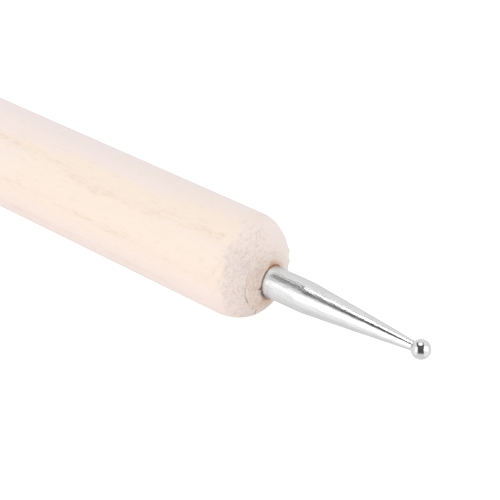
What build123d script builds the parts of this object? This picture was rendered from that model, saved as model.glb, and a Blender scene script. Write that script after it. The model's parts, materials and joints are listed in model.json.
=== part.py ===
from build123d import *
import os
from math import atan2, degrees, radians, sqrt, tan

# Double-ended embossing stylus, in millimetres.
# X runs along the handle towards the small (front) ball, Z is up, and the origin is
# the middle of the handle on its own axis.

# Handle: a turned dowel with rounded ends
handle_diameter = 10.0
handle_length = 95.0
end_shoulder_radius = 3.5    # rolls from the side of the dowel into its end
end_crown_flattening = 1.0   # the crown's radius is this much over the handle's radius

# Steel rod and the hole that it is glued into
rod_diameter = 3.0
glue_gap = 0.15              # ring of glue between rod and bore, measured on the radius
tang_depth = 18.0            # length of rod inside the handle
tang_chamfer = 0.3
bore_bottom_gap = 0.5        # glue between the end of the tang and the full bore's end
drill_point_angle = 118.0
glue_recess = 0.9            # the glue stops this far below the crown of the end
front_bore_drop = 0.4        # the front hole's mouth is this much below the handle's axis
front_bore_rise = 0.57       # degrees that the front hole and its shank climb towards the tip
bore_overrun = 2.0

# Shank outside the handle
shank_straight = 4.0         # straight length past the handle's end, before the taper
taper_bulge = 0.018          # how far the taper swells past a straight cone at its middle

# Front ball, the small one
front_reach = 16.5           # from the handle's end to the centre of the ball
front_ball_diameter = 1.8
front_neck_diameter = 0.91
front_spigot_diameter = 0.5
front_spigot_length = 0.7

# Rear ball, the large one
rear_reach = 17.0
rear_ball_diameter = 2.6
rear_neck_diameter = 1.25
rear_spigot_diameter = 0.7
rear_spigot_length = 1.0

# Fit of each spigot in its ball
spigot_clearance = 0.02      # on the radius
spigot_end_gap = 0.05

handle_radius = handle_diameter / 2
rod_radius = rod_diameter / 2
bore_radius = rod_radius + glue_gap
bore_depth = tang_depth + bore_bottom_gap
drill_point_depth = bore_radius / tan(radians(drill_point_angle / 2))

end_crown_radius = handle_radius + end_crown_flattening
crown_centre_depth = end_crown_radius
shoulder_centre_height = handle_radius - end_shoulder_radius
shoulder_centre_depth = crown_centre_depth - sqrt(
    (end_crown_radius - end_shoulder_radius) ** 2 - shoulder_centre_height**2
)


def turned(*outline):
    """Turn an outline, drawn above X and closed along it, about X."""
    return revolve(make_face(Curve() + list(outline)), Axis.X)


def handle_blank():
    """The dowel before it is drilled: a straight side and two rounded ends."""
    apex = handle_length / 2
    tangent_angle = degrees(
        atan2(shoulder_centre_height, crown_centre_depth - shoulder_centre_depth)
    )
    shoulder_sweep = 90 - tangent_angle
    side_end = apex - shoulder_centre_depth
    front_crown = CenterArc((apex - crown_centre_depth, 0), end_crown_radius, 0, tangent_angle)
    front_shoulder = CenterArc(
        (side_end, shoulder_centre_height), end_shoulder_radius, tangent_angle, shoulder_sweep
    )
    side = Line((side_end, handle_radius), (-side_end, handle_radius))
    rear_shoulder = CenterArc(
        (-side_end, shoulder_centre_height), end_shoulder_radius, 90, shoulder_sweep
    )
    rear_crown = CenterArc(
        (crown_centre_depth - apex, 0), end_crown_radius, 180 - tangent_angle, tangent_angle
    )
    axis_line = Line((-apex, 0), (apex, 0))
    return turned(front_crown, front_shoulder, side, rear_shoulder, rear_crown, axis_line)


# Everything at a tip is drawn in the tip's own frame: the origin is the crown of the
# handle's end on the bore's axis, and X points out of the handle.


def bore_filling(mouth):
    """The space inside a bore, from its drill point out to the given place on X."""
    return turned(
        Polyline(
            (-bore_depth - drill_point_depth, 0),
            (-bore_depth, bore_radius),
            (mouth, bore_radius),
            (mouth, 0),
            close=True,
        )
    )


def seat_offset(ball_diameter, neck_diameter):
    """How far behind its centre a ball is cut flat, where the neck's end fits it."""
    return sqrt(ball_diameter**2 - neck_diameter**2) / 2


def shank(reach, ball_diameter, neck_diameter, spigot_diameter, spigot_length):
    """Tang, straight part, taper, neck and spigot, turned from one rod."""
    seat = reach - seat_offset(ball_diameter, neck_diameter)
    neck_radius = neck_diameter / 2
    spigot_radius = spigot_diameter / 2
    taper_middle = (
        (shank_straight + seat) / 2,
        (rod_radius + neck_radius) / 2 + taper_bulge,
    )
    return turned(
        Polyline(
            (-tang_depth, 0),
            (-tang_depth, rod_radius - tang_chamfer),
            (-tang_depth + tang_chamfer, rod_radius),
            (shank_straight, rod_radius),
        ),
        ThreePointArc((shank_straight, rod_radius), taper_middle, (seat, neck_radius)),
        Polyline(
            (seat, neck_radius),
            (seat, spigot_radius),
            (seat + spigot_length, spigot_radius),
            (seat + spigot_length, 0),
            (-tang_depth, 0),
        ),
    )


def ball(reach, ball_diameter, neck_diameter, spigot_diameter, spigot_length):
    """A ball with a small flat that seats on the neck and a blind hole for the spigot."""
    ball_radius = ball_diameter / 2
    neck_radius = neck_diameter / 2
    seat = reach - seat_offset(ball_diameter, neck_diameter)
    hole_radius = spigot_diameter / 2 + spigot_clearance
    hole_bottom = seat + spigot_length + spigot_end_gap
    return turned(
        Polyline(
            (reach + ball_radius, 0),
            (hole_bottom, 0),
            (hole_bottom, hole_radius),
            (seat, hole_radius),
            (seat, neck_radius),
        ),
        ThreePointArc((seat, neck_radius), (reach, ball_radius), (reach + ball_radius, 0)),
    )


def adhesive(rod):
    """The glue round and behind the tang, up to just below the bore's mouth."""
    return bore_filling(-glue_recess) - rod


front_place = Location((handle_length / 2, 0, -front_bore_drop), (0, -front_bore_rise, 0))
rear_place = Location((-handle_length / 2, 0, 0), (0, 0, 180))
front_sizes = (
    front_reach,
    front_ball_diameter,
    front_neck_diameter,
    front_spigot_diameter,
    front_spigot_length,
)
rear_sizes = (
    rear_reach,
    rear_ball_diameter,
    rear_neck_diameter,
    rear_spigot_diameter,
    rear_spigot_length,
)

nodes = {}
handle = handle_blank()
for end, place, sizes in (("front", front_place, front_sizes), ("rear", rear_place, rear_sizes)):
    handle -= place * bore_filling(bore_overrun)
    rod = shank(*sizes)
    nodes[end + "_shank"] = place * rod
    nodes[end + "_ball"] = place * ball(*sizes)
    nodes[end + "_adhesive"] = place * adhesive(rod)
nodes["handle"] = handle

os.makedirs("parts", exist_ok=True)
for name, solid in nodes.items():
    export_step(solid, f"parts/{name}.step")
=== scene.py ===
import bmesh
import bpy
import json
import math
from mathutils import Matrix, Vector, noise


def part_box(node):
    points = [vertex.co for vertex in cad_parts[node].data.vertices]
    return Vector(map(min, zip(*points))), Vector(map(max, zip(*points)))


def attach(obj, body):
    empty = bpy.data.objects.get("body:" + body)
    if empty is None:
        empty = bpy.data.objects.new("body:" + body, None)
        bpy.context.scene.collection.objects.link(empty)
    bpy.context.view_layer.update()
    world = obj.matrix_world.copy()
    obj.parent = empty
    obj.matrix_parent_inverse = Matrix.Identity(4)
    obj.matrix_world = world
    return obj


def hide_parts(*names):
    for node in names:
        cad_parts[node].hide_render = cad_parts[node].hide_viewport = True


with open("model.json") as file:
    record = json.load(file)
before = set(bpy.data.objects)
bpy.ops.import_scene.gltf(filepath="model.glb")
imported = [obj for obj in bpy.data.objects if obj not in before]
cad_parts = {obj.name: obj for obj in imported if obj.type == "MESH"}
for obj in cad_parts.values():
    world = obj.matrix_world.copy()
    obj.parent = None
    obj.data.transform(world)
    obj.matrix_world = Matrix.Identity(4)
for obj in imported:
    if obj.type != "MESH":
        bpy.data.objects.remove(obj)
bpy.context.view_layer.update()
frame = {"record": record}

# Everything below is in metres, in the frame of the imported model.
MM = 0.001


def linear(red, green, blue):
    """A colour written in 0 to 255, as linear values with an alpha."""
    shares = [value / 255 for value in (red, green, blue)]
    return [s / 12.92 if s <= 0.04045 else ((s + 0.055) / 1.055) ** 2.4 for s in shares] + [1]


def smooth(low, high, value):
    """0 at low, 1 at high and an even curve between."""
    share = min(max((value - low) / (high - low), 0), 1)
    return share * share * (3 - 2 * share)


def hump(distance, width):
    """1 at no distance, falling off within about one width."""
    return math.exp(-((distance / width) ** 2))


def sector(angle, start, full, ebb, end):
    """1 from full to ebb, 0 before start and after end, and even curves between."""
    return smooth(start, full, angle) * (1 - smooth(ebb, end, angle))


def half_width(node):
    """Half of a node's size across the handle."""
    low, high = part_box(node)
    return (high.y - low.y) / 2


# The handle: a straight side, a shoulder at each end and a crown over the bore
grip = next(mount for mount in frame["record"]["mounts"] if mount["name"] == "handle_grip")
handle_radius = grip["dims"]["r_mm"] * MM
side_half = grip["dims"]["length_mm"] * MM / 2
end_shoulder_radius = 3.5 * MM
end_crown_flattening = 1.0 * MM
end_crown_radius = handle_radius + end_crown_flattening
shoulder_height = handle_radius - end_shoulder_radius
end_depth = end_crown_radius - math.sqrt(
    (end_crown_radius - end_shoulder_radius) ** 2 - shoulder_height**2
)
apex = side_half + end_depth
crown_centre = apex - end_crown_radius
arcs_meet = math.atan2(shoulder_height, end_crown_radius - end_depth)
arcs_meet_radius = end_crown_radius * math.sin(arcs_meet)
front_slant = (-0.05, -0.10)    # the front end is sanded this much out of square, across and up
floor_height = -handle_radius

# The bores, the glue in them and the shanks
drill_point_angle = 118.0
glue_recess = 0.9 * MM
tang_depth = 18.0 * MM
tang_chamfer = 0.3 * MM
bore_bottom_gap = 0.5 * MM
front_bore_drop = 0.4 * MM
front_bore_rise = math.radians(0.57)
shank_straight = 4.0 * MM
taper_bulge = 0.018 * MM
spigot_clearance = 0.02 * MM
spigot_end_gap = 0.05 * MM


class Tip:
    """One end: its place in the model, and the sizes of its bore, shank and ball."""

    def __init__(self, end, outward, place, reach, neck_diameter, spigot_diameter, spigot_length):
        self.end = end
        self.outward = outward
        self.place = place
        self.bore_height = place.translation.z
        self.rod_radius = half_width(end + "_shank")
        self.bore_radius = half_width(end + "_adhesive")
        self.ball_radius = half_width(end + "_ball")
        self.reach = reach
        self.neck_radius = neck_diameter / 2
        self.spigot_radius = spigot_diameter / 2
        self.seat = reach - math.sqrt(self.ball_radius**2 - self.neck_radius**2)
        self.spigot_end = self.seat + spigot_length
        self.drill_point = self.bore_radius / math.tan(math.radians(drill_point_angle / 2))

    def spot(self, along, y, z):
        """A place in the model from one on the bore's axis and its steps along model Y and Z."""
        return self.place @ Vector((along, self.outward * y, z))


front = Tip(
    "front",
    1,
    Matrix.Translation((apex, 0, -front_bore_drop)) @ Matrix.Rotation(-front_bore_rise, 4, "Y"),
    reach=16.5 * MM,
    neck_diameter=0.91 * MM,
    spigot_diameter=0.5 * MM,
    spigot_length=0.7 * MM,
)
rear = Tip(
    "rear",
    -1,
    Matrix.Translation((-apex, 0, 0)) @ Matrix.Rotation(math.pi, 4, "Z"),
    reach=17.0 * MM,
    neck_diameter=1.25 * MM,
    spigot_diameter=0.7 * MM,
    spigot_length=1.0 * MM,
)


# Helpers for meshes


def arc(centre, radius, start, stop, steps):
    """Points (along, off the axis) on an arc, with angles in degrees from outward."""
    points = []
    for step in range(steps + 1):
        angle = math.radians(start + (stop - start) * step / steps)
        points.append((centre[0] + radius * math.cos(angle), centre[1] + radius * math.sin(angle)))
    return points


def line(start, stop, steps):
    """Points from start to stop, both included."""
    return [
        tuple(a + (b - a) * step / steps for a, b in zip(start, stop)) for step in range(steps + 1)
    ]


def ring_angles(segments):
    """Evenly spaced angles once round, in radians."""
    return [2 * math.pi * i / segments for i in range(segments)]


def turned_rings(tip, outline, segments):
    """Rings about a tip's axis from points (distance outward, radius)."""
    rings = []
    for along, radius in outline:
        if radius <= 0:
            rings.append([tip.spot(along, 0, 0)])
        else:
            rings.append(
                [
                    tip.spot(along, radius * math.cos(angle), radius * math.sin(angle))
                    for angle in ring_angles(segments)
                ]
            )
    return rings


def skin(name, rings, crease_degrees=40):
    """A closed mesh through rings of points; a ring of one point is a pole.

    Edges that fold by more than crease_degrees stay sharp.
    """
    vertices = []
    starts = []
    for ring in rings:
        starts.append(len(vertices))
        vertices.extend(ring)
    faces = []
    for here, there, start, after in zip(rings, rings[1:], starts, starts[1:]):
        count = max(len(here), len(there))
        for i in range(count):
            j = (i + 1) % count
            if len(here) == 1:
                faces.append((start, after + j, after + i))
            elif len(there) == 1:
                faces.append((start + i, start + j, after))
            else:
                faces.append((start + i, start + j, after + j, after + i))
    mesh = bpy.data.meshes.new(name)
    mesh.from_pydata(vertices, [], faces)
    whole = bmesh.new()
    whole.from_mesh(mesh)
    bmesh.ops.recalc_face_normals(whole, faces=whole.faces)
    whole.to_mesh(mesh)
    whole.free()
    mesh.shade_smooth()
    mesh.set_sharp_from_angle(angle=math.radians(crease_degrees))
    piece = bpy.data.objects.new(name, mesh)
    bpy.context.collection.objects.link(piece)
    return piece


# Helpers for materials


class Paint:
    """A material or world whose nodes are added one call at a time; each returns an output."""

    def __init__(self, owner):
        self.owner = owner
        owner.use_nodes = True
        self.tree = owner.node_tree
        self.tree.nodes.clear()

    def node(self, kind, inputs=None, output=0, **settings):
        """One node. An input is a plain value or the output of another node."""
        made = self.tree.nodes.new("ShaderNode" + kind)
        for key, value in settings.items():
            setattr(made, key, value)
        for key, value in (inputs or {}).items():
            if isinstance(value, bpy.types.NodeSocket):
                self.tree.links.new(value, made.inputs[key])
            else:
                made.inputs[key].default_value = value
        return made.outputs[output] if made.outputs else None

    def math(self, operation, first, second=0.0):
        return self.node("Math", {0: first, 1: second}, operation=operation)

    def total(self, *values):
        """Everything added up."""
        result = values[0]
        for value in values[1:]:
            result = self.math("ADD", result, value)
        return result

    def product(self, *values):
        """Everything multiplied."""
        result = values[0]
        for value in values[1:]:
            result = self.math("MULTIPLY", result, value)
        return result

    def span(self, value, low, high, to_low=0.0, to_high=1.0):
        """The value mapped smoothly from low..high to to_low..to_high."""
        return self.node(
            "MapRange",
            {
                "Value": value,
                "From Min": low,
                "From Max": high,
                "To Min": to_low,
                "To Max": to_high,
            },
            interpolation_type="SMOOTHSTEP",
        )

    def mix(self, factor, first, second):
        """Two colours, blended."""
        inputs = {"Factor": factor, 6: first, 7: second}
        return self.node("Mix", inputs, output=2, data_type="RGBA")

    def place(self, stretch=(1, 1, 1), move=(0, 0, 0)):
        """Object coordinates in millimetres, moved and then stretched."""
        spot = self.node("TexCoord", output=3)
        millimetres = self.node("VectorMath", {0: spot, 1: [1 / MM] * 3}, operation="MULTIPLY")
        moved = self.node("VectorMath", {0: millimetres, 1: move}, operation="ADD")
        return self.node("VectorMath", {0: moved, 1: stretch}, operation="MULTIPLY")

    def axes(self, vector):
        """The three numbers of a vector."""
        return list(self.node("SeparateXYZ", {"Vector": vector}).node.outputs)

    def length(self, first, second):
        """The length of a step with these two sides."""
        squares = self.total(self.product(first, first), self.product(second, second))
        return self.math("SQRT", squares)

    def grain(self, spot, detail=2.0, roughness=0.5, distortion=0.0):
        """Noise from 0 to 1 at a place."""
        return self.node(
            "TexNoise",
            {
                "Vector": spot,
                "Scale": 1.0,
                "Detail": detail,
                "Roughness": roughness,
                "Distortion": distortion,
            },
        )

    def lines(self, distance, reach, rows):
        """Soft lines from rows of (distance, half width, strength), for distances up to reach."""
        ramp = self.node("ValToRGB", {"Fac": self.math("DIVIDE", distance, reach)})
        stops = ramp.node.color_ramp.elements
        stops[1].color = (0, 0, 0, 1)
        for middle, half, strength in rows:
            for at, height in ((middle - half, 0), (middle, strength), (middle + half, 0)):
                stops.new(at / reach).color = (height, height, height, 1)
        return ramp

    def bump(self, height, distance):
        """The normal of a surface raised by a height times a distance."""
        return self.node("Bump", {"Height": height, "Distance": distance, "Strength": 1.0})

    def finish(self, **inputs):
        """Ends the material in a Principled shader and returns it."""
        shader = self.node(
            "BsdfPrincipled", {key.replace("_", " "): value for key, value in inputs.items()}
        )
        return self.surface(shader)

    def surface(self, shader):
        """Ends the material in a shader and returns it."""
        self.node("OutputMaterial", {"Surface": shader})
        return self.owner


# Birch, in millimetres. The growth rings are cylinders about the pith, which runs beside the
# handle's axis.
pith = (-0.2, -0.5)             # across and up
ring_reach = 8.0
ring_wander = 0.35
ring_waver = 0.12
ring_rows = (                   # distance from the pith, half width and strength
    (1.90, 0.10, 0.45),
    (2.50, 0.10, 0.40),
    (2.82, 0.15, 0.85),
    (3.40, 0.16, 0.30),
    (4.10, 0.16, 0.28),
    (4.62, 0.07, 0.50),
    (4.95, 0.06, 0.58),
    (5.31, 0.06, 0.68),
)
heart_edge = (2.50, 2.96)       # where the tan heart ends, from the pith
stroke_fineness = (5.0, 4.5, 0.8)       # from the pith, round it and along
side_ring_share = 0.85
dash_share = 0.30
fibre_share = 0.10
end_ring_share = 0.80
wood_relief = 0.012
end_raggedness = 0.36           # how unevenly the end's look runs into the side's
end_limits = (0.36, 0.60)       # how outward a surface faces where it starts to look like the end
cream = linear(249, 231, 211)
# Rose of the blotches, and painted light: the cooler tone painted on the side's top, far side and
# underside
rose_cream_and_edge_light = linear(247, 230, 219)
ring_line = linear(224, 194, 165)
fleck = linear(228, 206, 184)
end_grain = linear(241, 226, 214)
# The end grain painted paler towards the top and the far side: painted light
end_grain_painted_light = linear(251, 234, 221)
end_grain_dark = linear(210, 190, 177)
heart_tan = linear(239, 216, 192)
heart_rose = linear(233, 204, 192)
heart_dark = linear(204, 176, 158)
# Brown of glue stains, and on the wood round the front bore also of painted shade
stain_and_shade_brown = linear(222, 170, 124)
# Dark brown of cracks and scratches, and of painted shadow round the front bore
crack_and_shade_brown = linear(110, 84, 66)
sheen_tint = linear(240, 240, 252)


def birch():
    """Pale wood: faint rings, fine flecks on the side, and torn pores on the ends."""
    wood = Paint(bpy.data.materials.new("birch"))
    along, across, upward = wood.axes(wood.place())
    facing = wood.math("ABSOLUTE", wood.axes(wood.node("NewGeometry", output=1))[0])
    from_pith_y = wood.math("SUBTRACT", across, pith[0])
    from_pith_z = wood.math("SUBTRACT", upward, pith[1])
    distance = wood.length(from_pith_y, from_pith_z)
    turn = wood.math("ARCTAN2", from_pith_z, from_pith_y)

    # The rings wander a little and fade in and out
    wander = wood.grain(wood.place(stretch=(0.03, 0.22, 0.22)), detail=1.0)
    waver = wood.grain(wood.place(stretch=(0.3, 1.6, 1.6), move=(2, 9, 4)), detail=1.0)
    shift = wood.total(
        wood.product(wander, ring_wander),
        wood.product(waver, ring_waver),
        -(ring_wander + ring_waver) / 2,
    )
    ring_distance = wood.total(distance, shift)
    ring = wood.lines(ring_distance, ring_reach, ring_rows)
    fade = wood.grain(wood.place(stretch=(0.10, 0.9, 0.9), move=(7, 1, 3)), detail=2.0)
    ring = wood.product(ring, wood.span(fade, 0.40, 0.60, 0.15, 1.0))

    # The side: fibres, short flecks and wide soft rosy blotches. Towards the top, the far side and
    # the underside the rose is painted light: it stands in for the cooler light on those edges
    fibre = wood.grain(wood.place(stretch=(0.35, 7, 7)), detail=3.0)
    dash_noise = wood.grain(wood.place(stretch=(0.8, 5, 5), move=(3, 7, 1)), detail=2.0)
    dashes = wood.span(dash_noise, 0.58, 0.74)
    blotch = wood.grain(wood.place(stretch=(0.05, 0.25, 0.25), move=(20, 0, 5)), detail=2.0)
    rose_and_edge_light = wood.product(wood.span(blotch, 0.38, 0.62), wood.span(upward, 2.0, 4.0, 0.4, 1.0))
    # Painted light: the rose also rises towards the underside and the far side
    rose_and_edge_light = wood.math("MAXIMUM", rose_and_edge_light, wood.span(upward, -2.0, 2.0, 1.0, 0.0))
    rose_and_edge_light = wood.math("MAXIMUM", rose_and_edge_light, wood.span(across, -1.0, 1.2, 0.0, 0.75))
    side = wood.mix(rose_and_edge_light, cream, rose_cream_and_edge_light)
    grit = wood.grain(wood.place(stretch=(1.3, 6, 6), move=(5, 5, 5)), detail=2.0)
    speckled = wood.product(ring, wood.span(grit, 0.40, 0.62, 0.18, 1.0))
    side = wood.mix(wood.product(speckled, side_ring_share), side, ring_line)
    side = wood.mix(wood.product(dashes, dash_share), side, fleck)
    side = wood.mix(wood.span(fibre, 0.35, 0.75, 0.0, fibre_share), side, fleck)

    # The ends: pores and torn fibres in strokes that follow the rings, and the tan heart. Towards
    # the top and the far side the ends are painted lighter as painted light: paler end grain, a
    # fainter heart and fainter dark marks.
    places = zip((distance, turn, along), stroke_fineness)
    polar = wood.node("CombineXYZ", {i: wood.product(*pair) for i, pair in enumerate(places)})
    strokes = wood.grain(polar, detail=3.0, roughness=0.6, distortion=1.2)
    pores = wood.grain(wood.place(stretch=(2.0, 5.5, 5.5)), detail=3.0, roughness=0.65)
    torn_place = wood.place(stretch=(0.7, 2.2, 2.2), move=(4, 4, 4))
    torn = wood.grain(torn_place, detail=2.0, distortion=1.0)
    # Painted light: how far a place lies towards the top and the far side
    corner = wood.total(upward, wood.product(across, 0.7))
    # Painted light: the heart and the dark marks fade towards the far side
    rough = wood.span(across, 0.2, 2.2, 1.0, 0.35)
    end = wood.mix(wood.span(corner, 0.3, 3.6), end_grain, end_grain_painted_light)
    heart = wood.span(ring_distance, *heart_edge, 1.0, 0.0)
    heart = wood.product(heart, rough, wood.span(corner, 0.4, 1.8, 0.56, 0.15))
    heart_colour = wood.mix(wood.span(torn, 0.40, 0.60), heart_tan, heart_rose)
    end = wood.mix(wood.product(heart, wood.span(pores, 0.3, 0.6, 0.75, 1.0)), end, heart_colour)
    # How strong the dark marks are, weakened towards the top and the far side as painted light
    depth = wood.product(rough, wood.span(corner, 1.2, 4.2, 1.0, 0.6))
    for marks, low, high, most in (
        (pores, 0.36, 0.68, 0.34),
        (strokes, 0.50, 0.68, 0.42),
        (torn, 0.52, 0.70, 0.20),
    ):
        darkness = wood.product(depth, wood.span(marks, low, high, 0.0, most))
        end = wood.mix(darkness, end, end_grain_dark)
    knots = wood.product(heart, wood.span(strokes, 0.46, 0.64, 0.0, 0.60))
    end = wood.mix(knots, end, heart_dark)
    end = wood.mix(wood.product(ring, depth, end_ring_share), end, ring_line)
    ragged = wood.total(facing, wood.product(torn, end_raggedness), -end_raggedness / 2)
    end_share = wood.span(ragged, *end_limits)

    colour = wood.mix(end_share, side, end)
    # Real stains and cracks, together with painted shade and painted shadow round the front bore
    stain_and_shade = wood.node("Attribute", {}, output=2, attribute_name="stain_and_shade")
    crack_and_shade = wood.node("Attribute", {}, output=2, attribute_name="crack_and_shade")
    colour = wood.mix(stain_and_shade, colour, stain_and_shade_brown)
    colour = wood.mix(crack_and_shade, colour, crack_and_shade_brown)

    end_relief = wood.total(wood.product(pores, 0.9), wood.product(strokes, -1.1))
    relief = wood.total(
        wood.product(fibre, 0.4),
        wood.product(dashes, -0.3),
        wood.product(ring, -0.5),
        wood.product(end_relief, end_share),
    )
    return wood.finish(
        Base_Color=colour,
        Roughness=wood.span(fibre, 0.2, 0.8, 0.58, 0.72),
        Specular_IOR_Level=0.2,
        Sheen_Weight=0.42,
        Sheen_Roughness=0.4,
        Sheen_Tint=sheen_tint,
        Normal=wood.bump(relief, wood_relief * MM),
    )


# Steel and glue, in millimetres. Pairs are places beyond the handle's end, if not said otherwise.
steel_dark = linear(211, 211, 212)
steel_light = linear(223, 223, 223)
steel_edge_tint = linear(230, 230, 230)
mouth_painted_highlight = linear(243, 250, 254)
mouth_shine = (0.15, 0.65)      # a painted highlight makes the near side brighter up to here
mouth_near_side = (-0.6, 0.2)   # across: the near side, which gets the painted highlight, is up to here
glue_line = (-0.20, -0.35)      # brown with glue from here inwards
mouth_satin = 0.36
straight_satin = 0.265
taper_polish = 0.055            # how much smoother the taper is than the straight part
neck_polish = 0.11              # how much smoother the neck is than the taper's start
neck_polish_length = 12.0
edge_blend = 0.5                # over this far each side of the taper's start the polish changes
polish_relief = 0.022
ball_dark = linear(212, 212, 213)
ball_light = linear(219, 219, 219)
ball_edge_tint = linear(236, 236, 236)
glue_dark = linear(170, 140, 112)
glue_light = linear(204, 175, 147)
glue_relief = 0.03


def shank_steel():
    """Steel polished lengthwise: satin in the hole's mouth, near a mirror at the neck."""
    steel = Paint(bpy.data.materials.new("shank_steel"))
    along, across, _ = steel.axes(steel.place())
    beyond = steel.total(steel.math("ABSOLUTE", along), -apex / MM)
    straight = shank_straight / MM
    lines = steel.grain(steel.place(stretch=(0.5, 8, 8)), detail=3.0, roughness=0.6)
    jags = steel.grain(steel.place(stretch=(1.2, 5, 5), move=(1, 2, 3)), detail=2.0)
    tone = steel.mix(steel.span(lines, 0.3, 0.7), steel_dark, steel_light)
    # A painted highlight: the near side of the rod at the mouth is brighter and bluer
    near_side = steel.span(across, *mouth_near_side, 1.0, 0.0)
    mouth = steel.product(steel.span(beyond, *mouth_shine, 1.0, 0.0), near_side)
    tone = steel.mix(mouth, tone, mouth_painted_highlight)
    tone = steel.mix(steel.span(beyond, *glue_line), tone, stain_and_shade_brown)
    satin = steel.total(
        steel.span(beyond, 0.0, 0.4, mouth_satin, straight_satin),
        steel.span(beyond, straight - edge_blend, straight + edge_blend, 0.0, -taper_polish),
        steel.span(beyond, straight, straight + neck_polish_length, 0.0, -neck_polish),
    )
    normal = steel.node("NewGeometry", output=1)
    axis = (math.cos(front_bore_rise), 0, math.sin(front_bore_rise))
    around_axis = steel.node("VectorMath", {0: normal, 1: axis}, operation="CROSS_PRODUCT")
    relief = steel.total(steel.product(lines, 0.3), jags)
    relief = steel.product(relief, steel.span(beyond, straight - 1.0, straight + 1.0, 1.0, 0.5))
    return steel.finish(
        Base_Color=tone,
        Metallic=1.0,
        Roughness=steel.product(satin, steel.span(lines, 0.25, 0.75, 0.9, 1.12)),
        Specular_Tint=steel_edge_tint,
        Anisotropic=0.43,
        Tangent=around_axis,
        Normal=steel.bump(relief, polish_relief * MM),
    )


def ball_steel():
    """Polished to a mirror, with the faintest haze."""
    steel = Paint(bpy.data.materials.new("ball_steel"))
    haze = steel.grain(steel.place(stretch=(2, 2, 2)), detail=2.0)
    return steel.finish(
        Base_Color=steel.mix(steel.span(haze, 0.3, 0.7), ball_dark, ball_light),
        Metallic=1.0,
        Roughness=steel.span(haze, 0.3, 0.7, 0.035, 0.06),
        Specular_Tint=ball_edge_tint,
    )


def dried_glue():
    """Pale brown and lumpy, dull in places."""
    glue = Paint(bpy.data.materials.new("glue"))
    lumps = glue.grain(glue.place(stretch=(4, 4, 4)), detail=3.0)
    return glue.finish(
        Base_Color=glue.mix(glue.span(lumps, 0.3, 0.7), glue_dark, glue_light),
        Roughness=glue.span(lumps, 0.3, 0.7, 0.35, 0.6),
        Normal=glue.bump(lumps, glue_relief * MM),
    )


wood_material = birch()
shank_material = shank_steel()
ball_material = ball_steel()
glue_material = dried_glue()


# Marks on the ends, in millimetres. A place is (across, up) from the handle's axis, and an
# angle is about the bore's axis, in degrees from -Y towards +Z.
torn_height = 0.012
torn_fineness = 2.6
torn_fractal = (0.8, 2.1, 3)    # how its octaves weaken, how much finer each is, and how many
grooved_rings = 5
groove_depth = 0.018
lip_wear_depth = 0.12
lip_wear_width = 0.4
# Brown round the worn lip over the front bore: glue soaked into the wood, and painted shade where
# the lip dips into the bore
lip_stain_and_shade = 0.72
lip_stain_and_shade_width = 0.65
lip_stain_and_shade_fade_share = 0.60     # this much of the stain and painted shade is gone past the top
under_rod_shadow_tint = 0.40              # a painted shadow of the rod: a rosy patch under the bore, darker at its edge
under_rod_shadow_darkness = 0.08
under_rod_shadow_middle = 0.45             # from the bore's edge
under_rod_shadow_width = 0.42
# A painted shadow in a narrow band at the bore's lower, near edge, under the rod
rim_shadow_darkness = 0.60
rim_shadow_width = 0.22
rim_shadow_narrowing = 0.09
# Where each runs about the bore: it starts, is full, starts to fade and has gone
worn_sector = (66, 92, 140, 172)
under_rod_shadow_sector = (-104, -86, -50, -34)
rim_shadow_sector = (-100, -84, -26, -10)
lip_stain_and_shade_rise = (68, 92)
lip_stain_and_shade_fade = (100, 125)
rim_shadow_narrows = (-45, -25)
cracks = (                      # from, to, half width, depth, darkness
    ((-3.05, -0.60), (-2.95, -1.05), 0.045, 0.02, 0.35),
    ((-2.95, -1.05), (-2.75, -1.55), 0.055, 0.04, 0.60),
    ((-2.10, -2.45), (-2.05, -2.45), 0.085, 0.06, 0.55),
    ((-1.60, -2.80), (-1.45, -3.30), 0.045, 0.04, 0.60),
    ((-1.45, -3.30), (-1.25, -3.75), 0.050, 0.05, 0.70),
    ((-1.65, -0.40), (-1.75, -0.45), 0.085, 0.10, 1.00),
    ((-1.60, -0.90), (-1.60, -1.00), 0.060, 0.06, 0.80),
    ((-3.05, -0.65), (-3.00, 0.10), 0.045, 0.01, 0.24),
    ((-3.00, 0.10), (-2.80, 0.85), 0.045, 0.01, 0.22),
    ((-2.80, 0.85), (-2.65, 1.20), 0.045, 0.01, 0.24),
    ((-2.65, 1.20), (-2.35, 1.65), 0.045, 0.01, 0.18),
    ((-2.75, -1.55), (-2.40, -2.10), 0.050, 0.01, 0.16),
)
scratches = (                   # from, to: left by sanding
    ((-2.80, 2.65), (-2.45, 2.80)),
    ((-3.00, 2.20), (-2.50, 2.45)),
    ((-3.00, 1.90), (-2.30, 2.30)),
    ((-2.75, 1.85), (-2.20, 2.15)),
    ((-2.50, 1.75), (-2.05, 2.00)),
    ((-2.40, 2.25), (-2.05, 2.45)),
    ((-0.20, 4.15), (-0.55, 3.75)),
    ((0.15, 4.10), (-0.10, 3.70)),
    ((-1.10, 3.20), (-0.60, 3.30)),
    ((-3.95, -0.05), (-3.75, -0.50)),
    ((-3.65, 0.15), (-3.45, -0.30)),
    ((-3.15, 0.25), (-3.10, -0.20)),
)
scratch_width = 0.05
scratch_depth = 0.01
scratch_darkness = 0.17
bumps = (                       # place, radius, height
    ((3.95, 0.50), 0.22, 0.12),
    ((3.75, -0.40), 0.14, 0.11),
    ((4.15, 1.30), 0.90, 0.04),
    ((3.50, 2.80), 0.20, 0.04),
)


def distance_to(point, start, stop):
    """How far a point is from a straight line between two others."""
    step = stop - start
    share = min(max((point - start).dot(step) / step.length_squared, 0), 1)
    return (point - start - step * share).length


crack_lines = [(Vector(a), Vector(b), *rest) for a, b, *rest in cracks]
crack_lines += [
    (Vector(a), Vector(b), scratch_width, scratch_depth, scratch_darkness) for a, b in scratches
]


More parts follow.
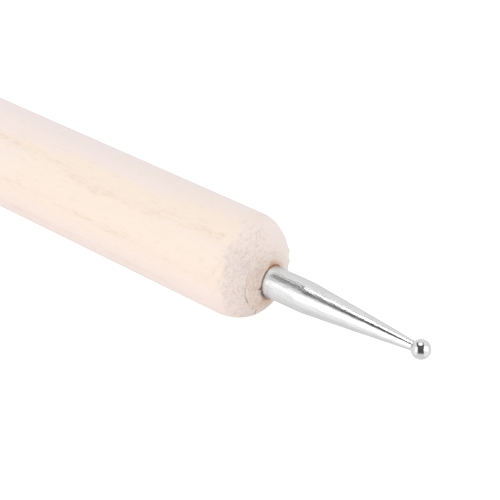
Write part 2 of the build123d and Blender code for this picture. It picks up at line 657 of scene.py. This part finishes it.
def torn_grain(tip, y, z):
    """How far the torn end grain stands over the smooth end, in millimetres."""
    from_pith = math.hypot(y - pith[0], z - pith[1])
    rough = noise.fractal(Vector((y, z, tip.outward)) * torn_fineness, *torn_fractal)
    grooves = sum(
        strength * hump(from_pith - ring, half)
        for ring, half, strength in ring_rows[:grooved_rings]
    )
    return torn_height * rough - groove_depth * grooves


def front_marks(y, z):
    """The marks on the front end at a place in millimetres: lift, stain with painted shade, and
    cracks with painted shadow.
    """
    spot = Vector((y, z))
    from_bore = Vector((y, z + front_bore_drop / MM))
    past_bore = from_bore.length - front.bore_radius / MM
    angle = math.degrees(math.atan2(from_bore.y, -from_bore.x))
    worn = sector(angle, *worn_sector)
    lift = -lip_wear_depth * worn * (1 - smooth(0, lip_wear_width, past_bore)) ** 2
    # The worn lip: glue stain and painted shade, brown next to the bore
    stain_and_shade = lip_stain_and_shade * worn * (1 - smooth(0.0, lip_stain_and_shade_width, past_bore))
    faded = lip_stain_and_shade_fade_share * smooth(*lip_stain_and_shade_fade, angle)
    stain_and_shade *= smooth(*lip_stain_and_shade_rise, angle) * (1 - faded)
    # Painted shadow of the rod on the wood under the bore: rosy, darker at its edge
    under_rod_shadow = sector(angle, *under_rod_shadow_sector) * hump(past_bore - under_rod_shadow_middle, under_rod_shadow_width)
    stain_and_shade = max(stain_and_shade, under_rod_shadow_tint * under_rod_shadow)
    # Painted shadow along the bore's lower edge, under the rod
    rim_shadow = rim_shadow_darkness * sector(angle, *rim_shadow_sector)
    rim_shadow *= hump(past_bore, rim_shadow_width - rim_shadow_narrowing * smooth(*rim_shadow_narrows, angle))
    crack_and_shade = max(rim_shadow, under_rod_shadow_darkness * under_rod_shadow)
    for start, stop, width, depth, darkness in crack_lines:
        near = hump(distance_to(spot, start, stop), width)
        crack_and_shade = max(crack_and_shade, darkness * near)
        lift -= depth * near
    for place, radius, height in bumps:
        lift += height * hump((spot - Vector(place)).length, radius)
    return lift, stain_and_shade, crack_and_shade


# Handle
around = 400
shoulder_rows = 44
crown_rows = 48
side_rows = 24
bore_rows = 5
bore_stain = 0.5                # the bore's wall is this brown with glue
centring_share = 0.9            # outside this share of the handle's radius rings keep its axis
torn_limits = (0.25, 0.6)       # how outward a surface faces where torn grain starts


def end_surface(radius):
    """How far out the end reaches at a radius, and its normal (outward, off the axis)."""
    if radius < arcs_meet_radius:
        rise = math.sqrt(end_crown_radius**2 - radius**2)
        return crown_centre + rise, (rise / end_crown_radius, radius / end_crown_radius)
    off = radius - shoulder_height
    rise = math.sqrt(max(end_shoulder_radius**2 - off**2, 0))
    return side_half + rise, (rise / end_shoulder_radius, off / end_shoulder_radius)


def end_ring(tip, radius):
    """One ring on an end, as (place, stain and painted shade, cracks and painted shadow); its
    middle nears the bore's inwards.
    """
    centring = smooth(handle_radius * centring_share, tip.bore_radius, radius)
    ring = []
    for angle in ring_angles(around):
        y = radius * math.cos(angle)
        z = radius * math.sin(angle) + tip.bore_height * centring
        off_axis = math.hypot(y, z)
        out, normal = end_surface(min(off_axis, handle_radius))
        lift = torn_grain(tip, y / MM, z / MM)
        stain_and_shade = crack_and_shade = 0.0
        if tip is front:
            marks_lift, stain_and_shade, crack_and_shade = front_marks(y / MM, z / MM)
            lift += marks_lift
            share = min((out - side_half) / end_depth, 1)
            out += share * (front_slant[0] * y + front_slant[1] * z)
        lift *= MM * smooth(*torn_limits, normal[0])
        spread = 1 + lift * normal[1] / off_axis
        place = Vector(((out + lift * normal[0]) * tip.outward, y * spread, z * spread))
        ring.append((place, stain_and_shade, crack_and_shade))
    return ring


def plain_ring(ring, stain_and_shade=0.0):
    """An evenly stained ring without cracks or painted shadow, as (place, stain and shade, crack
    and shade).
    """
    return [(place, stain_and_shade, 0.0) for place in ring]


def end_rings(tip):
    """Rings from the bottom of a bore to the outer edge of the end."""
    bottom = -tang_depth - bore_bottom_gap
    bore = [(bottom - tip.drill_point, 0)]
    bore += line((bottom, tip.bore_radius), (-glue_recess, tip.bore_radius), bore_rows)
    rings = [plain_ring(ring, bore_stain) for ring in turned_rings(tip, bore, around)]
    radii = [radius for _, radius in line((0, tip.bore_radius), (0, arcs_meet_radius), crown_rows)]
    shoulder = arc(
        (0, shoulder_height), end_shoulder_radius, math.degrees(arcs_meet), 90, shoulder_rows
    )
    radii += [radius for _, radius in shoulder[1:]]
    return rings + [end_ring(tip, radius) for radius in radii]


side = line((side_half, handle_radius), (-side_half, handle_radius), side_rows)[1:-1]
side_rings = [
    [Vector((x, r * math.cos(angle), r * math.sin(angle))) for angle in ring_angles(around)]
    for x, r in side
]
handle_rings = end_rings(front)
handle_rings += [plain_ring(ring) for ring in side_rings]
handle_rings += reversed(end_rings(rear))
handle = skin("handle_birch", [[place for place, _, _ in ring] for ring in handle_rings])
for index, mark in enumerate(("stain_and_shade", "crack_and_shade"), start=1):
    values = [corner[index] for ring in handle_rings for corner in ring]
    handle.data.attributes.new(mark, "FLOAT", "POINT").data.foreach_set("value", values)
handle.data.materials.append(wood_material)
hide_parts("handle")
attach(handle, "root")


# Shanks and balls
shank_segments = 192
shank_crease = 20               # degrees
ball_segments = 128
ball_steps = 72
straight_steps = 24
taper_steps = 64
edge_softening = 0.04 * MM      # the edge between straight and taper is rounded this much
glue_depth = 0.06 * MM
glue_sag = 0.03 * MM
glue_lumps = 0.05 * MM
glue_lump_fineness = 1.4
glue_wall_steps = 4
# Across the gap, from the bore in to the rod: share of the gap, and share of the sag
glue_top_shares = ((1.0, 0.0), (0.8, 0.6), (0.5, 1.0), (0.2, 0.7), (0.0, 0.2))
# Round the gap: degrees from +Y towards +Z, half width, and extra depth; a negative one is a rise
glue_levels = (
    (72, 18, -0.05 * MM),
    (125, 20, 0.05 * MM),
    (163, 9, -0.05 * MM),
    (183, 7, 0.12 * MM),
    (205, 12, 0.14 * MM),
    (230, 16, 0.10 * MM),
)


def make_shank(tip):
    """Tang, straight part, taper, neck and spigot in one."""
    outline = [(-tang_depth, 0), (-tang_depth, tip.rod_radius - tang_chamfer)]
    outline += line(
        (tang_chamfer - tang_depth, tip.rod_radius),
        (shank_straight - edge_softening, tip.rod_radius),
        straight_steps,
    )
    for step in range(1, taper_steps + 1):
        share = step / taper_steps
        radius = tip.rod_radius + (tip.neck_radius - tip.rod_radius) * share
        radius += 4 * taper_bulge * share * (1 - share)
        outline.append((shank_straight + (tip.seat - shank_straight) * share, radius))
    outline += [(tip.seat, tip.spigot_radius), (tip.spigot_end, tip.spigot_radius)]
    outline.append((tip.spigot_end, 0))
    piece = skin(tip.end + "_shank_steel", turned_rings(tip, outline, shank_segments), shank_crease)
    piece.data.materials.append(shank_material)
    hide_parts(tip.end + "_shank")
    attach(piece, "root")


def make_ball(tip):
    """A ball seated on the neck, with a blind hole for the spigot."""
    hole = tip.spigot_radius + spigot_clearance
    hole_bottom = tip.spigot_end + spigot_end_gap
    seat_degrees = 180 - math.degrees(math.asin(tip.neck_radius / tip.ball_radius))
    outline = [(hole_bottom, 0), (hole_bottom, hole), (tip.seat, hole)]
    outline += arc((tip.reach, 0), tip.ball_radius, seat_degrees, 0, ball_steps)[:-1]
    outline.append((tip.reach + tip.ball_radius, 0))
    piece = skin(tip.end + "_ball_steel", turned_rings(tip, outline, ball_segments))
    piece.data.materials.append(ball_material)
    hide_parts(tip.end + "_ball")
    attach(piece, "root")


def make_glue(tip):
    """Glue round and behind the tang; its top runs a little below the mouth's edge."""
    bottom = -tang_depth - bore_bottom_gap
    outline = [(bottom - tip.drill_point, 0)]
    outline += line((bottom, tip.bore_radius), (-glue_recess, tip.bore_radius), glue_wall_steps)
    rings = turned_rings(tip, outline, around)
    into_tip = tip.place.inverted()
    mouth = [(into_tip @ place).x for place, _, _ in end_ring(tip, tip.bore_radius)]
    for gap_share, sag_share in glue_top_shares:
        radius = tip.rod_radius + (tip.bore_radius - tip.rod_radius) * gap_share
        ring = []
        for angle, edge in zip(ring_angles(around), mouth):
            y = radius * math.cos(angle)
            z = radius * math.sin(angle)
            lumps = noise.noise(Vector((y, z, tip.outward * MM)) / MM * glue_lump_fineness)
            depth = glue_depth + glue_sag * sag_share + glue_lumps * lumps
            if tip is front:
                depth += sum(
                    more * hump((math.degrees(angle) - at + 180) % 360 - 180, width)
                    for at, width, more in glue_levels
                )
            ring.append(tip.spot(edge - depth, y, z))
        rings.append(ring)
    inner = [
        (tang_chamfer - tang_depth, tip.rod_radius),
        (-tang_depth, tip.rod_radius - tang_chamfer),
        (-tang_depth, 0),
    ]
    piece = skin(tip.end + "_glue", rings + turned_rings(tip, inner, around))
    piece.data.materials.append(glue_material)
    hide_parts(tip.end + "_adhesive")
    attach(piece, "root")


for tip in (front, rear):
    make_shank(tip)
    make_ball(tip)
    make_glue(tip)


# Camera
view_azimuth = math.radians(41.92)
view_elevation = math.radians(30.68)
camera_place = Vector((138.45, -104.49, 85.14)) * MM
camera_lens = 130.9
camera_nearest = MM
camera_farthest = 10
towards_camera = Vector(
    (
        math.sin(view_azimuth) * math.cos(view_elevation),
        -math.cos(view_azimuth) * math.cos(view_elevation),
        math.sin(view_elevation),
    )
)
camera = bpy.data.objects.new("camera", bpy.data.cameras.new("camera"))
bpy.context.collection.objects.link(camera)
camera.data.lens = camera_lens
camera.data.clip_start = camera_nearest
camera.data.clip_end = camera_farthest
camera.location = camera_place
camera.rotation_mode = "QUATERNION"
camera.rotation_quaternion = (-towards_camera).to_track_quat("-Z", "Y")
bpy.context.scene.camera = camera


# Studio: a pale floor, a white surround, one soft fill, and cards that only metal shows
white = (1, 1, 1, 1)
studio_radius = 0.8
surround = (0.955, 0.985, 1.045, 1)
surround_strength = 0.97
surround_in_metal = 1.0
surround_to_eye = 1.0
floor_half = 4.0
floor_body = linear(236, 236, 236)
floor_glow = 0.14
floor_to_eye = 0.65
floor_in_metal = 0.87
floor_mirror = (0.19, 0.19, 0.19, 1)
floor_gloss = 0.25
fill_direction = Vector((0, -1, 0.15))
fill_power = 1.24
fill_size = 0.6
fill_colour = (1.0, 0.94, 0.86)
ball_middle = front.place @ Vector((front.reach, 0, 0))
card_floor_gap = 0.2 * MM
softbox_nearness = 0.98         # share of the studio's radius, so that no card cuts another
overhead_nearness = 0.97
left_softbox_glow = 1.9
right_softbox_glow = 1.8
overhead_glow = 6.0
overhead_glow_twice = 1.0       # as one mirror shows it in another
dark_least = 0.10               # the dark card's glow, and how much it gains upwards
dark_rise = 0.036
dark_rise_limits = (-0.3, 0.3)
dark_top_rise = 0.087
dark_top_limits = (0.3, 0.62)
dark_foot = -0.31               # below here it brightens steadily, down to the floor
dark_foot_slope = 2.8


def light_paths(paint):
    """Whether a ray comes from the camera, and whether it comes off metal or through glass."""
    path = paint.node("LightPath").node.outputs
    mirrored = paint.math("MAXIMUM", path["Is Glossy Ray"], path["Is Transmission Ray"])
    return path["Is Camera Ray"], mirrored


def glow(name, strength=None, seen_twice=None):
    """A plain light-giving material; with no strength it takes each point's own.

    A lamp may have another strength where one mirror shows it in another.
    """
    paint = Paint(bpy.data.materials.new(name))
    if strength is None:
        strength = paint.node("Attribute", {}, output=2, attribute_name="glow")
    if seen_twice is not None:
        depth = paint.node("LightPath").node.outputs["Ray Depth"]
        strength = paint.span(depth, 1.0, 2.0, strength, seen_twice)
    return paint.surface(paint.node("Emission", {"Color": white, "Strength": strength}))


def floor_paint():
    """Pale, white to the eye, slightly glossy in metal, and clear from below."""
    paint = Paint(bpy.data.materials.new("floor"))
    underside = paint.node("NewGeometry", output="Backfacing")
    to_eye, mirrored = light_paths(paint)
    body = paint.node("BsdfDiffuse", {"Color": floor_body})
    strength = paint.total(paint.product(to_eye, floor_to_eye), floor_glow)
    extra = paint.node("Emission", {"Color": white, "Strength": strength})
    seen = paint.node("AddShader", {0: body, 1: extra})
    plain = paint.node("Emission", {"Color": white, "Strength": floor_in_metal})
    gloss = paint.node("BsdfAnisotropic", {"Color": floor_mirror, "Roughness": floor_gloss})
    shown = paint.node("AddShader", {0: plain, 1: gloss})
    above = paint.node("MixShader", {0: mirrored, 1: seen, 2: shown})
    below = paint.node("BsdfTransparent")
    return paint.surface(paint.node("MixShader", {0: underside, 1: above, 2: below}))


def mirror_direction(across, up):
    """Where the front ball mirrors the camera's view, at a place in shares of its radius."""
    view = (camera_place - ball_middle).normalized()
    right = Vector((0, 0, 1)).cross(view).normalized()
    depth = math.sqrt(1 - across**2 - up**2)
    normal = right * across + view.cross(right) * up + view * depth
    return 2 * depth * normal - view


def studio_card(name, rows, material, nearness=1.0, strengths=None):
    """A card that only metal shows, from rows of (across, up) places in the front ball."""
    vertices = []
    for spot in (spot for row in rows for spot in row):
        direction = mirror_direction(*spot)
        reach = studio_radius * nearness
        if direction.z < 0:
            reach = min(reach, (floor_height + card_floor_gap - ball_middle.z) / direction.z)
        vertices.append(ball_middle + reach * direction)
    width = len(rows[0])
    faces = [
        (r * width + c, r * width + c + 1, (r + 1) * width + c + 1, (r + 1) * width + c)
        for r in range(len(rows) - 1)
        for c in range(width - 1)
    ]
    mesh = bpy.data.meshes.new(name)
    mesh.from_pydata(vertices, [], faces)
    mesh.materials.append(material)
    if strengths:
        glows = [strengths(up) for row in rows for _, up in row]
        mesh.attributes.new("glow", "FLOAT", "POINT").data.foreach_set("value", glows)
    card = bpy.data.objects.new(name, mesh)
    card.visible_camera = False
    card.visible_diffuse = False
    card.visible_shadow = False
    bpy.context.collection.objects.link(card)


def card_rows(edges, steps=8):
    """Rows of places between a left and a right edge given at some heights."""
    rows = []
    for (up, left, right), (next_up, next_left, next_right) in zip(edges, edges[1:]):
        for step in range(steps):
            share = step / steps
            low = left + (next_left - left) * share
            high = right + (next_right - right) * share
            height = up + (next_up - up) * share
            rows.append([(low + (high - low) * c / steps, height) for c in range(steps + 1)])
    up, left, right = edges[-1]
    rows.append([(left + (right - left) * c / steps, up) for c in range(steps + 1)])
    return rows


def lamp_rows(centre, width, height, rings=4, spokes=32):
    """Rows that fill a box with rounded corners from its middle out."""
    rim = []
    for spoke in range(spokes + 1):
        angle = 2 * math.pi * spoke / spokes
        reach = (math.cos(angle) ** 4 + math.sin(angle) ** 4) ** -0.25
        rim.append((width / 2 * reach * math.cos(angle), height / 2 * reach * math.sin(angle)))
    return [
        [(centre[0] + x * ring / rings, centre[1] + y * ring / rings) for x, y in rim]
        for ring in range(rings + 1)
    ]


def dark_glow(up):
    """How bright the dark card is at a height: it fades into the floor and the ceiling."""
    upper = dark_least + dark_rise * smooth(*dark_rise_limits, up)
    upper += dark_top_rise * smooth(*dark_top_limits, up)
    return upper + max(0, dark_foot_slope * (dark_foot - up))


# Each edge is (up, left, right) in shares of the ball's radius
dark_edges = [
    (-0.43, -0.28, 0.30),
    (0.0, -0.300, 0.226),
    (0.12, -0.315, 0.240),
    (0.22, -0.360, 0.255),
    (0.32, -0.410, 0.258),
    (0.45, -0.435, 0.240),
    (0.62, -0.458, 0.218),
]
left_softbox_edges = [(-0.245, -0.562, -0.342), (0.151, -0.567, -0.374)]
right_softbox_edges = [(-0.148, 0.29, 0.68), (0.30, 0.29, 0.65)]
overhead_middle = (-0.075, 0.492)
overhead_width = 0.31
overhead_height = 0.18

studio_card("dark_card", card_rows(dark_edges), glow("dark_card"), strengths=dark_glow)
studio_card(
    "left_softbox",
    card_rows(left_softbox_edges),
    glow("left_softbox", left_softbox_glow),
    nearness=softbox_nearness,
)
studio_card(
    "right_softbox",
    card_rows(right_softbox_edges),
    glow("right_softbox", right_softbox_glow),
    nearness=softbox_nearness,
)
studio_card(
    "overhead_lamp",
    lamp_rows(overhead_middle, overhead_width, overhead_height),
    glow("overhead_lamp", overhead_glow, seen_twice=overhead_glow_twice),
    nearness=overhead_nearness,
)

fill = bpy.data.objects.new("fill", bpy.data.lights.new("fill", "AREA"))
fill.data.energy = fill_power
fill.data.size = fill_size
fill.data.color = fill_colour
fill.visible_glossy = False
fill.visible_camera = False
fill.location = fill_direction.normalized() * studio_radius
fill.rotation_mode = "QUATERNION"
fill.rotation_quaternion = fill_direction.to_track_quat("Z", "Y")
bpy.context.collection.objects.link(fill)

floor_signs = ((-1, -1), (1, -1), (1, 1), (-1, 1))
floor_corners = [(x * floor_half, y * floor_half, floor_height) for x, y in floor_signs]
floor_mesh = bpy.data.meshes.new("floor")
floor_mesh.from_pydata(floor_corners, [], [(0, 1, 2, 3)])
floor_mesh.materials.append(floor_paint())
floor = bpy.data.objects.new("floor", floor_mesh)
bpy.context.collection.objects.link(floor)

world = bpy.data.worlds.new("world")
sky = Paint(world)
to_eye, mirrored = light_paths(sky)
plain = sky.node("Background", {"Color": surround, "Strength": surround_strength})
shown = sky.node("Background", {"Color": white, "Strength": surround_in_metal})
backdrop = sky.node("Background", {"Color": white, "Strength": surround_to_eye})
lit = sky.node("MixShader", {0: mirrored, 1: plain, 2: shown})
sky.node("OutputWorld", {"Surface": sky.node("MixShader", {0: to_eye, 1: lit, 2: backdrop})})
bpy.context.scene.world = world
bpy.context.scene.view_settings.view_transform = "Standard"
